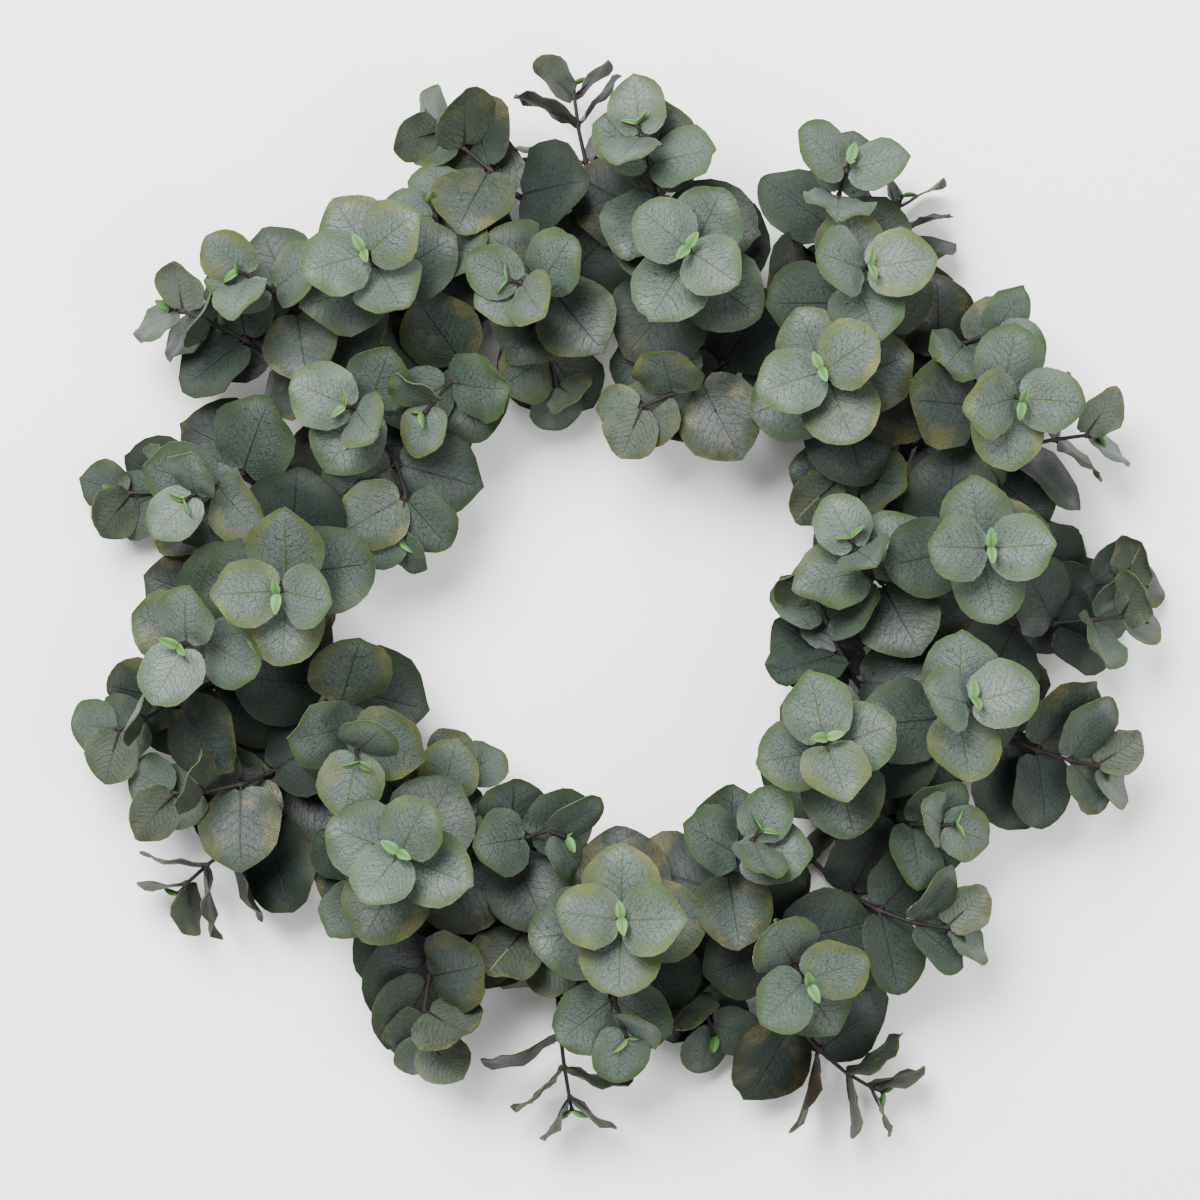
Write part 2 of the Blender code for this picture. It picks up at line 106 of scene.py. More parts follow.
# One row a spray: tip x, y and height in mm; bend x, y and height in mm;
# angle of its root on the hoop; pairs of leaves; spin of the tip pair; turn to the viewer
SPRAYS = (
    (170, 308, 45, 250, 343, 50, 143, 4, 5, 0.45),
    (238, 272, 84, 285, 300, 64, 136, 4, 95, 0.35),
    (363, 250, 112, 383, 276, 76, 125, 4, 29, 0.25),
    (429, 124, 50, 512, 190, 55, 93, 4, 40, 0.35),
    (574, 84, 34, 587, 168, 42, 86, 4, 8, 0.10),
    (637, 124, 100, 656, 192, 74, 79, 4, 60, 0.30),
    (688, 247, 124, 690, 266, 84, 73, 4, 145, 0.25),
    (508, 280, 96, 545, 288, 76, 97, 4, 60, 0.35),
    (560, 398, 34, 545, 345, 38, 104, 3, 60, 0.65),
    (345, 407, 86, 372, 404, 62, 134, 2, 129, 0.30),
    (423, 414, 74, 455, 375, 60, 113, 4, 142, 0.40),
    (850, 160, 86, 832, 220, 62, 53, 4, 163, 0.35),
    (870, 264, 106, 850, 292, 78, 48, 4, 0, 0.25),
    (821, 368, 116, 834, 386, 74, 41, 4, 20, 0.25),
    (1022, 402, 100, 984, 402, 66, 27, 4, 175, 0.30),
    (1098, 435, 38, 1012, 450, 44, 20, 4, 10, 0.25),
    (630, 410, 58, 690, 385, 60, 60, 5, 30, 0.75),
    (991, 547, 122, 965, 550, 76, 12, 4, 4, 0.25),
    (851, 538, 88, 876, 580, 62, 6, 3, 121, 0.30),
    (811, 581, 50, 845, 662, 50, -22, 4, 45, 0.45),
    (1136, 615, 42, 1026, 625, 44, -3, 4, 45, 0.35),
    (1136, 578, 18, 1036, 590, 20, 3, 4, 50, 0.40),
    (974, 698, 110, 945, 718, 74, -19, 4, 3, 0.25),
    (827, 738, 118, 833, 756, 78, -30, 4, 104, 0.25),
    (1108, 768, 42, 1014, 742, 48, -15, 4, 15, 0.45),
    (956, 824, 68, 905, 824, 56, -37, 4, 70, 0.35),
    (762, 831, 92, 733, 864, 70, -71, 4, 104, 0.30),
    (960, 928, 52, 882, 912, 55, -50, 4, 10, 0.45),
    (810, 985, 92, 788, 955, 60, -61, 4, 27, 0.30),
    (883, 1092, 22, 804, 1034, 32, -67, 4, 4, 0.10),
    (621, 918, 122, 622, 928, 78, -85, 4, 0, 0.25),
    (566, 838, 66, 525, 838, 58, -110, 4, 22, 0.40),
    (398, 852, 116, 408, 862, 74, -125, 4, 60, 0.25),
    (572, 1110, 32, 559, 1019, 40, -97, 4, 2, 0.10),
    (426, 1048, 34, 428, 980, 44, -116, 5, 50, 0.45),
    (627, 1038, 68, 610, 990, 58, -91, 4, 70, 0.60),
    (714, 1036, 26, 694, 985, 28, -79, 3, 20, 0.65),
    (358, 762, 98, 342, 706, 66, 190, 4, 60, 0.30),
    (107, 734, 44, 202, 688, 46, 184, 5, 20, 0.60),
    (162, 793, 50, 240, 785, 50, 206, 5, 20, 0.65),
    (178, 646, 98, 222, 628, 62, 177, 4, 70, 0.30),
    (277, 594, 116, 290, 575, 76, 169, 4, 0, 0.25),
    (184, 500, 84, 232, 478, 62, 153, 4, 90, 0.30),
    (116, 494, 20, 190, 494, 24, 162, 3, 30, 0.40),
    (178, 894, 28, 230, 848, 36, 214, 4, 4, 0.12),
    (358, 898, 60, 366, 874, 50, 226, 3, 60, 0.45),
    (399, 540, 54, 398, 464, 56, 147, 4, 0, 0.90),
    (902, 196, 20, 876, 272, 26, 45, 4, 10, 0.15),
    (824, 478, 42, 860, 480, 44, 25, 3, 20, 0.60),
    (1008, 334, 62, 950, 350, 52, 36, 4, 20, 0.80),
    (468, 766, 44, 428, 806, 48, 216, 3, 30, 0.70),
    (430, 203, 68, 450, 250, 55, 113, 3, 30, 0.70),
    (532, 968, 34, 518, 914, 44, -106, 3, 40, 0.70),
)


def at(x, y, height):
    """The point seen at this place of the layout grid from above, at a height in mm."""
    z = height / 1000.0
    shrink = (VIEW_HEIGHT - z) / VIEW_HEIGHT
    across = (x - 600.0) * STEP * shrink + (600.0 - GRID_CENTRE[0]) * STEP
    up = (600.0 - y) * STEP * shrink + (GRID_CENTRE[1] - 600.0) * STEP
    return Vector((across, up, z))


def hoop_point(angle):
    """Core of the hoop's wire at an angle, and the way out of the straight side there."""
    half = math.pi / HOOP_STEPS
    middle = (math.floor(angle / (2 * half)) + 0.5) * 2 * half
    radius = HOOP_RADIUS * math.cos(half) / math.cos(angle - middle)
    flat = HOOP_WIRE * math.cos(math.pi / HOOP_SIDES)
    core = at(HOOP_CENTRE[0], HOOP_CENTRE[1], 0.0)
    core += Vector((math.cos(angle) * radius, math.sin(angle) * radius, flat))
    return core, Vector((math.cos(middle), math.sin(middle), 0.0))


def hoop_solid():
    points = []
    faces = []
    for i in range(HOOP_STEPS):
        angle = 2 * math.pi * i / HOOP_STEPS
        core = hoop_point(angle)[0]
        outward = Vector((math.cos(angle), math.sin(angle), 0.0))
        for k in range(HOOP_SIDES):
            a = 2 * math.pi * (k + 0.5) / HOOP_SIDES
            lift = Vector((0, 0, HOOP_WIRE * math.sin(a)))
            points.append(core + outward * (HOOP_WIRE * math.cos(a)) + lift)
    for i in range(HOOP_STEPS):
        n = (i + 1) % HOOP_STEPS
        for k in range(HOOP_SIDES):
            m = (k + 1) % HOOP_SIDES
            a, b = i * HOOP_SIDES + k, i * HOOP_SIDES + m
            c, d = n * HOOP_SIDES + m, n * HOOP_SIDES + k
            faces.append((a, d, c, b))
    return points, faces


def stem_line(row, count=24):
    """Points along the stem from its heel, square on a flat of the hoop, to its tip."""
    tip = at(*row[0:3])
    bend = at(*row[3:6])
    core, outward = hoop_point(math.radians(row[6]))
    away = bend - core
    lean = math.atan2(away.z, away.dot(outward))
    lean = math.radians(min(180, max(0, 45 * round(math.degrees(lean) / 45))))
    side = outward * math.cos(lean) + Vector((0, 0, math.sin(lean)))
    heel = core + side * (HOOP_WIRE * math.cos(math.pi / HOOP_SIDES) + SEAT_GAP)
    root = heel + side * HEEL_LENGTH
    pull = bend * 2.0 - (root + tip) * 0.5
    line = [heel]
    for i in range(count + 1):
        t = i / count
        line.append(root * (1 - t) ** 2 + pull * 2 * t * (1 - t) + tip * t * t)
    return line


def along(line, back):
    """The point at a distance back from the tip."""
    for i in range(len(line) - 1, 0, -1):
        piece = line[i - 1] - line[i]
        if back <= piece.length or i == 1:
            return line[i] + piece.normalized() * min(back, piece.length)
        back -= piece.length


def skeleton(index, row):
    """Centres of the stem's rings from the tip down, its frame at each, and the pairs' seats."""
    line = stem_line(row)
    whole = sum((line[i] - line[i - 1]).length for i in range(1, len(line)))
    draw = random.Random(500 + index)
    facing = min(1.0, max(0.0, ((line[-1] - line[-4]).normalized().z - 0.25) / 0.5))
    seats = [BUD_BACK]
    for pair in range(row[7]):
        step = PAIR_STEPS[pair] * draw.uniform(0.92, 1.08)
        if pair > 1:
            step *= 1 + (FACE_SPREAD - 1) * facing
        seats.append(seats[-1] + step)
    limit = whole - HEEL_LENGTH - 0.008
    if seats[-1] > limit:
        room = seats[-1] - BUD_BACK
        seats = [BUD_BACK + (s - BUD_BACK) * (limit - BUD_BACK) / room for s in seats]
    backs = [0.0, BUD_BACK + 0.0012] + [s + SEAT_TO_RING for s in seats[1:]]
    if whole - backs[-1] > 0.055:
        backs.append((backs[-1] + whole) / 2)
    backs += [whole - HEEL_LENGTH, whole]
    centres = [along(line, b) for b in backs]
    sides = []
    ahead = (centres[0] - centres[1]).normalized()
    if ahead.z > 0.35:
        angle = math.radians(row[8])
        first = Vector((math.cos(angle), math.sin(angle), 0.0))
        first.z = -first.dot(ahead) / ahead.z
    else:
        level = Vector((0, 0, 1)).cross(ahead).normalized()
        first = Matrix.Rotation(math.radians(row[8]), 3, ahead) @ level
    for i in range(len(centres)):
        if i:
            ahead = (centres[i - 1] - centres[i]).normalized()
        first = (first - ahead * first.dot(ahead)).normalized()
        sides.append((first.copy(), ahead.copy()))
    places = []
    for i, seat in enumerate(seats):
        part = (seat - backs[i]) / (backs[i + 1] - backs[i])
        places.append(centres[i].lerp(centres[i + 1], part))
    return centres, sides, places


def blade_edge(theta):
    """Half outline: place along the midrib and half width, over the leaf's length."""
    r = BLADE_RADIUS
    r *= 1 + 0.06 * math.exp(-((theta / 0.26) ** 2))
    r *= 1 - 0.12 * math.exp(-(((math.pi - theta) / 0.42) ** 2))
    return BLADE_MIDDLE + r * math.cos(theta), r * math.sin(theta)


def blade_rise(u, v, form):
    """Height of the blade's middle surface off the flat, over the leaf's length."""
    cup = form["cup"] * (v / 0.44) ** 2 * min(1.0, max(0.0, u * 2.5))
    arch = form["arch"] * (u - 0.15) * abs(u - 0.15)
    edge = min(1.0, math.hypot(u - BLADE_MIDDLE, v) / BLADE_RADIUS) ** 4
    wave = form["wave"] * math.sin(form["waves"] * math.atan2(v, u - BLADE_MIDDLE) + form["phase"])
    return cup + arch + wave * edge


def blade_frame(leaf, change):
    """Root and axes of a leaf: along the midrib, across it, and out of its upper face."""
    point, stalk, radial, sweep, turn = leaf["seat"]
    sweep = math.radians(sweep) + change[0]
    rib = radial * math.cos(sweep) + stalk * math.sin(sweep)
    face = stalk * math.cos(sweep) - radial * math.sin(sweep)
    rib = Matrix.Rotation(change[1], 3, face) @ rib
    up = Vector((0, 0, 1)) - rib * rib.z
    if up.length > 0.05:
        up.normalize()
        angle = math.atan2(rib.dot(face.cross(up)), face.dot(up))
        if abs(angle) > math.pi * 0.62:
            angle -= math.copysign(math.pi, angle)
        face = Matrix.Rotation(angle * turn, 3, rib) @ face
    face = Matrix.Rotation(change[2], 3, rib) @ face
    across = face.cross(rib).normalized()
    return point, rib.normalized(), across, face.normalized()


def blade_solid(leaf, change, fuller=1.0, thicker=0.0, rooted=True):
    """Points and triangles of a leaf, cut alike on both faces."""
    point, rib, across, face = blade_frame(leaf, change)
    size = leaf["size"] * change[3]
    form = leaf["form"]

    def place(u, v, lift):
        rise = abs(u) * BUD_LIFT if leaf["bud"] else blade_rise(u, v, form)
        rise = rise * size + lift
        return point + rib * (u * size) + across * (v * size) + face * rise

    if leaf["bud"]:
        half = [(0.0, 0.26)]
        ribs = [(0.0, 0.0015)]
        root = -1.0
    else:
        edge = [blade_edge(math.radians(a)) for a in reversed(OUTLINE)]
        half = [(BLADE_MIDDLE + (u - BLADE_MIDDLE) * fuller, v * fuller) for u, v in edge]
        ribs = [(HEEL if rooted else 0.2, HALF_THICK)]
        root = -0.0002 / size if rooted else 0.1
        if rooted:
            half.insert(0, (NECK_AT / size, NECK_HALF / size))
    tip = 1.0 if leaf["bud"] else BLADE_MIDDLE + (blade_edge(0.0)[0] - BLADE_MIDDLE) * fuller
    end = [(tip, 0.0)] if leaf["bud"] else []
    ring = [(root, 0.0)] + half + end + [(u, -v) for u, v in reversed(half)]
    points = [place(u, v, 0.0) for u, v in ring]
    first = len(points)
    points += [place(u, 0.0, t + thicker) for u, t in ribs]
    points += [place(u, 0.0, -t - thicker) for u, t in ribs]
    count = len(ring)
    near = []
    for i in range(count):
        middle = (ring[i][0] + ring[(i + 1) % count][0]) / 2
        near.append(min(range(len(ribs)), key=lambda k: abs(ribs[k][0] - middle)))
    top = []
    for i in range(count):
        ahead = (i + 1) % count
        top.append((i, first + near[i], ahead))
        step = 1 if near[ahead] > near[i] else -1
        for j in range(near[i], near[ahead], step):
            top.append((ahead, first + j, first + j + step))
    shift = len(ribs)
    bottom = []
    for face_points in top:
        swap = [p + shift if p >= first else p for p in face_points]
        bottom.append((swap[0], swap[2], swap[1]))
    return points, top + bottom


def stem_solid(bones):
    """Points and faces of the stem, a thin taper whose flats meet the leaf stalks."""
    centres, sides, _ = bones
    points = []
    faces = []
    last = len(centres) - 1
    for i, here in enumerate(centres):
        side, ahead = sides[i]
        other = ahead.cross(side)
        r = STEM_TIP + (STEM_ROOT - STEM_TIP) * i / last
        for k in range(STEM_SIDES):
            a = 2 * math.pi * (k + 0.5) / STEM_SIDES
            points.append(here + side * (r * math.cos(a)) + other * (r * math.sin(a)))
    for i in range(last):
        for k in range(STEM_SIDES):
            a = i * STEM_SIDES + k
            b = i * STEM_SIDES + (k + 1) % STEM_SIDES
            faces.append((a, a + STEM_SIDES, b + STEM_SIDES))
            faces.append((a, b + STEM_SIDES, b))
    faces.append(tuple(range(STEM_SIDES)))
    end = last * STEM_SIDES
    faces.append(tuple(range(end + STEM_SIDES - 1, end - 1, -1)))
    return points, faces


def leaves_of(index, row, bones):
    """Every leaf and bud of a spray, before it is bent clear."""
    draw = random.Random(1000 + index)
    _, sides, places = bones
    facing = min(1.0, max(0.0, (sides[0][1].z - 0.25) / 0.5))
    step = FLAT_STEP if index + 1 in FLAT_SPRAYS else 90.0
    made = []
    for pair, point in enumerate(places):
        first, stalk = sides[pair + 1]
        twist = (pair - 1) * math.radians(step) + draw.uniform(-0.14, 0.14)
        for way in (0.0, math.pi) if pair else (0.0,):
            radial = Matrix.Rotation(twist + way, 3, stalk) @ first
            bud = pair == 0
            if bud:
                size, sweep, turn = BUD_LENGTH, 0.0, 0.1
            else:
                size = SIDE_LENGTHS[pair - 1] * (1 - facing) + FACE_LENGTHS[pair - 1] * facing
                sweep = SIDE_SWEEPS[pair - 1] * (1 - facing) + FACE_SWEEPS[pair - 1] * facing
                size *= draw.uniform(0.94, 1.06)
                sweep += draw.uniform(-7, 7)
                sweep -= TILT * (1 - facing) * radial.z * draw.uniform(0.7, 1.1)
                sweep = min(sweep, MOST_SWEEP)
                turn = row[9] * draw.uniform(0.7, 1.3)
                if pair > (2 if step > 45 else 3):
                    turn += (LOW_TURN - turn) * (pair - 2) / 3
            form = {
                "cup": draw.uniform(0.0, 0.05),
                "arch": 0.0 if bud else draw.uniform(-0.20, 0.0),
                "wave": 0.0 if bud else draw.uniform(0.010, 0.026),
                "waves": draw.choice((3, 4, 5)),
                "phase": draw.uniform(0, 6.28),
            }
            made.append(
                {
                    "spray": index,
                    "bud": bud,
                    "pair": pair,
                    "size": size,
                    "seat": (point, stalk, radial, sweep, turn),
                    "form": form,
                    "seed": draw.randrange(10**6),
                }
            )
    return made


def body_of(points, faces):
    low = Vector([min(p[i] for p in points) for i in range(3)])
    high = Vector([max(p[i] for p in points) for i in range(3)])
    return BVHTree.FromPolygons(points, faces), low, high


def clash(a, b):
    for i in range(3):
        if a[1][i] > b[2][i] or b[1][i] > a[2][i]:
            return False
    return bool(a[0].overlap(b[0]))


def in_opening(points):
    x, y, wide, high = OPENING
    return any(((p.x - x) / wide) ** 2 + ((p.y - y) / high) ** 2 < 1 for p in points)


def lay_out():
    """The stems, and each leaf with the small bend that keeps it clear of all others."""
    bones = [skeleton(index, row) for index, row in enumerate(SPRAYS)]
    stems = [body_of(*stem_solid(bone)) for bone in bones]
    hoop = body_of(*hoop_solid())
    leaves = []
    for index, row in enumerate(SPRAYS):
        leaves += leaves_of(index, row, bones[index])
    ordered = []
    for number, leaf in enumerate(leaves):
        point, rib, _, _ = blade_frame(leaf, (0, 0, 0, 1))
        height = point.z + rib.z * leaf["size"] * 0.5
        ordered.append((0 if leaf["bud"] else 1, -round(height, 5), number))
    ordered.sort()
    placed = []
    for _, _, number in ordered:
        leaf = leaves[number]
        draw = random.Random(leaf["seed"])
        leaf["change"] = None
        for go in range(TRIES):
            reach = go / TRIES
            small = 1.0 - 0.25 * max(0.0, reach - 0.5)
            change = (
                draw.uniform(-1, 1) * 0.85 * reach,
                draw.uniform(-1, 1) * 0.75 * reach,
                draw.uniform(-1, 1) * 1.30 * reach,
                small,
            )
            points, faces = blade_solid(leaf, change, 1.06, ROOM)
            if min(p.z for p in points) < FLOOR or in_opening(points):
                continue
            whole = body_of(points, faces)
            if clash(whole, hoop):
                continue
            if any(k != leaf["spray"] and clash(whole, stems[k]) for k in range(len(stems))):
                continue
            part = whole
            if not leaf["bud"]:
                part = body_of(*blade_solid(leaf, change, 1.04, ROOM, False))
            hit = False
            for other in placed:
                if other["spray"] == leaf["spray"]:
                    if other["bud"] or leaf["bud"]:
                        continue
                    hit = clash(part, other["part"])
                else:
                    hit = clash(whole, other["whole"])
                if hit:
                    break
            if hit:
                continue
            leaf["change"] = change
            leaf["whole"] = whole
            leaf["part"] = part
            placed.append(leaf)
            break
    return bones, [leaf for leaf in leaves if leaf["change"]]


# Fine leaf: cells of its grid along and across, and its half outline from the notch to the tip
CELLS_ALONG = 12
CELLS_ACROSS = 8
LEAF_EDGE = (
    (0.085, 0.000), (0.028, 0.082), (0.020, 0.180), (0.078, 0.305), (0.215, 0.418), (0.400, 0.478),
    (0.600, 0.470), (0.768, 0.382), (0.884, 0.252), (0.948, 0.122), (0.972, 0.000),
)
TIP_EDGE = ((0.888, 0.222), (0.958, 0.090), (1.006, 0.000))

# Age of a leaf by its pair, from 0 to 1, partly real ageing and partly painted shade on the lower
# pairs, and the painted shade added for one that lies low
AGE_AND_SHADE_BY_PAIR = (0.0, 0.22, 0.58, 0.85, 0.97)
PAINTED_SHADE_FROM_HEIGHT = 0.085
PAINTED_SHADE_HEIGHT_RANGE = 0.065
LOW_PAINTED_SHADE = 0.50

# Where the margin begins to roll down, from the blade's middle out
ROLL_FROM = 0.65

# Stem: sides, most distance between its rings, and its swelling round a seat, as
# distance below the seat and share of the knot
STEM_SHAPE_SIDES = 8
STEM_RING_STEP = 0.008
SWELLING = ((-0.0026, 0.0), (-0.0010, 0.8), (0.0004, 1.0), (0.0018, 0.0))

# Leaf stalk: place over the leaf's length, drop below its face, radius and share of the knot
STALK_SIDES = 5
STALK = (
    (0.0, 0.0, 0.0010, 0.8), (0.05, 0.0002, 0.0008, 0.5), (0.10, 0.0005, 0.0007, 0.2),
    (0.24, 0.0006, 0.0005, 0.0), (0.42, 0.0003, 0.0003, 0.0),
)
BUD_SWEEP = math.radians(32)

# Ring: sides and steps to each turn of its tape, and where in a turn it is level with the flats
WRAP_SIDES = 16
WRAP_STEPS = 4
WRAP_LEVEL = 0.7

# Leaf drawing: distance between the veins that branch off the midrib, over the leaf's length
VEIN_STEP = 0.105

# Stage: floor, lights with their place, width and share of the key's power, and camera
FLOOR_HALF = 6.0
FLOOR_DROP = 0.0004
LIGHTS = (("key", (-0.8, 1.3, 2.5), 1.6, 1.0), ("fill", (1.6, -0.4, 2.4), 2.0, 0.25))
CAMERA_SENSOR = 36.0
CAMERA_END = 50.0
FRAME_WIDTH = 0.6


def a_length(name, description, default):
    return bpy.props.FloatProperty(
        name=name, description=description, default=default, unit="LENGTH")


def an_amount(name, description, default):
    return bpy.props.FloatProperty(name=name, description=description, default=default)


def a_colour(name, description, *default):
    return bpy.props.FloatVectorProperty(
        name=name, description=description, subtype="COLOR", default=default)


class LeafSettings(bpy.types.PropertyGroup):
    cloth: a_length("Cloth", "Thickness of the leaf cloth", 0.0005)
    roll: an_amount("Roll", "How far the margin rolls down, over the leaf's length", 0.040)
    ripple: an_amount("Ripple", "Waves of the margin, over the leaf's length", 0.026)
    twist: an_amount("Twist", "Turn of the blade towards its tip", 0.22)
    fold: an_amount("Fold", "Rise of each half from the midrib", 0.14)
    bloom: a_colour("Bloom", "Silvery middle of the upper face", 0.084, 0.110, 0.092)
    green: a_colour("Green", "Green of the margin", 0.036, 0.066, 0.017)
    vein: a_colour("Vein", "Veins of the upper face", 0.012, 0.020, 0.014)
    rib: a_colour("Midrib", "Midrib of a young leaf", 0.040, 0.054, 0.013)
    back: a_colour("Back", "Ground colour of the back", 0.066, 0.081, 0.062)
    edge: a_colour("Edge", "Margin of the back", 0.056, 0.072, 0.024)
    tan: a_colour("Tan", "Back of the oldest leaves", 0.055, 0.038, 0.018)
    gold: a_colour("Gold", "Printed gold on the back", 0.62, 0.46, 0.16)


class StemSettings(bpy.types.PropertyGroup):
    knot: a_length("Knot", "Swelling of the stem where a pair of leaves sits", 0.0005)
    bark: a_colour("Bark", "Colour of the stem", 0.008, 0.005, 0.0055)
    bud: a_colour("Bud", "Colour of the tip buds", 0.062, 0.145, 0.036)


class RingSettings(bpy.types.PropertyGroup):
    turns: bpy.props.IntProperty(
        name="Turns", description="Turns of tape round the whole ring", default=96)
    ridge: a_length("Ridge", "Height of the tape's lap", 0.0005)
    tape: a_colour("Tape", "Colour of the tape", 0.030, 0.025, 0.018)


class StageSettings(bpy.types.PropertyGroup):
    floor: a_colour("Floor", "Colour of the floor", 0.90, 0.90, 0.90)
    key: bpy.props.FloatProperty(
        name="Key", description="Power of the large soft light", default=300.0, unit="POWER")
    fill: an_amount("Fill", "Strength of the light from all round", 0.68)


class Wire:
    """A socket of a material's nodes, which takes part in sums as a number does."""

    def __init__(self, finish, socket):
        self.finish = finish
        self.socket = socket

    def math(self, operation, *values):
        sockets = dict(enumerate(values))
        return self.finish.node("ShaderNodeMath", {"operation": operation}, sockets)

    def __add__(self, other):
        return self.math("ADD", self, other)

    def __radd__(self, other):
        return self.math("ADD", other, self)

    def __sub__(self, other):
        return self.math("SUBTRACT", self, other)

    def __rsub__(self, other):
        return self.math("SUBTRACT", other, self)

    def __mul__(self, other):
        return self.math("MULTIPLY", self, other)

    def __truediv__(self, other):
        return self.math("DIVIDE", self, other)

    def __abs__(self):
        return self.math("ABSOLUTE", self)

    def fraction(self):
        return self.math("FRACT", self)

    def clamp(self):
        return self.math("MINIMUM", self.math("MAXIMUM", self, 0.0), 1.0)

    def above(self, low, high):
        """0 below low, 1 above high and smooth between them; low may be the larger."""
        settings = {"interpolation_type": "SMOOTHSTEP"}
        return self.finish.node(
            "ShaderNodeMapRange", settings, {"Value": self, "From Min": low, "From Max": high})


class Finish:
    """A material built node by node."""

    def __init__(self, name):
        self.material = bpy.data.materials.new(name)
        self.material.use_nodes = True
        self.tree = self.material.node_tree
        self.shader = self.tree.nodes["Principled BSDF"]

    def node(self, kind, settings=None, sockets=None, output=0):
        made = self.tree.nodes.new(kind)
        for name, value in (settings or {}).items():
            setattr(made, name, value)
        for name, value in (sockets or {}).items():
            self.plug(made.inputs[name], value)
        return Wire(self, made.outputs[output])

    def plug(self, socket, value):
        if isinstance(value, Wire):
            self.tree.links.new(value.socket, socket)
        elif isinstance(value, (int, float)):
            socket.default_value = value
        else:
            socket.default_value = (*value, 1.0)

    def set(self, **sockets):
        for name, value in sockets.items():
            self.plug(self.shader.inputs[name.replace("_", " ")], value)

    def mix(self, share, a, b, how="MIX"):
        return self.node("ShaderNodeMix", {"data_type": "RGBA", "blend_type": how},
                         {0: share, 6: a, 7: b}, 2)

    def attribute(self, name, output=2):
        return self.node("ShaderNodeAttribute", {"attribute_name": name}, None, output)

    def here(self):
        """Place in the object's own coordinates."""
        return self.node("ShaderNodeTexCoord", None, None, 3)

    def pair(self, x, y):
        return self.node("ShaderNodeCombineXYZ", None, {0: x, 1: y})

    def split(self, vector):
        made = self.tree.nodes.new("ShaderNodeSeparateXYZ")
        self.plug(made.inputs[0], vector)
        return [Wire(self, s) for s in made.outputs]

    def noise(self, vector, scale, detail=2.0, rough=0.5, space="3D"):
        return self.node("ShaderNodeTexNoise", {"noise_dimensions": space}, {
            "Vector": vector, "Scale": scale, "Detail": detail, "Roughness": rough})

    def cells(self, vector, scale, feature="F1"):
        """Distances in a pattern of flat cells: to the nearest point, or to the nearest border."""
        return self.node("ShaderNodeTexVoronoi", {"feature": feature, "voronoi_dimensions": "2D"},
                         {"Vector": vector, "Scale": scale})

    def bump(self, height, distance, strength=1.0):
        return self.node("ShaderNodeBump", None, {
            "Height": height, "Distance": distance, "Strength": strength})


def shaded(colour, share):
    return [c * share for c in colour]


def leaf_drawing(finish):
    """What both faces of a leaf share: its own coordinates, its veins, its net and its margin."""
    along_rib, aside, rim = finish.split(finish.attribute("blade", 1))
    tint = finish.attribute("tint")
    own = finish.pair(along_rib + tint * 17.0, aside + tint * 29.0)
    wobble = finish.noise(own, 6.0, 1.0, space="2D") - 0.5
    shiver = finish.noise(own, 26.0, 1.0, space="2D") - 0.5
    off = abs(aside)
    half = aside.math("SIGN", aside)
    width = 0.0125 - along_rib * 0.0085
    rib = (off + wobble * 0.012).above(width + 0.004, width - 0.001) * along_rib.above(0.97, 0.80)
    run = along_rib - off * 0.60 - off * off * 0.42 + wobble * 0.10 + shiver * 0.020
    place = run / VEIN_STEP + half * 0.25
    beyond = off - 0.17 + wobble * 0.25
    fork = beyond.math("MAXIMUM", beyond, 0.0) * 0.30
    gap = abs(abs(place.fraction() - 0.5) * VEIN_STEP - fork)
    lateral = gap.above(0.0068 - off * 0.007, 0.0020) * off.above(0.48, 0.30)
    drift = finish.pair(
        run + shiver * 0.010 + tint * 23.0,
        off * 0.78 + half * 3.0 + shiver * 0.020 + tint * 11.0)
    twigs = finish.cells(drift, 18.0, "DISTANCE_TO_EDGE")
    fine = finish.cells(drift, 38.0, "DISTANCE_TO_EDGE")
    return {
        "own": own, "tint": tint, "along": along_rib, "rim": rim, "rib": rib, "lateral": lateral,
        "net": twigs.above(0.105, 0.020), "mesh": fine.above(0.20, 0.04), "cell": fine,
    }


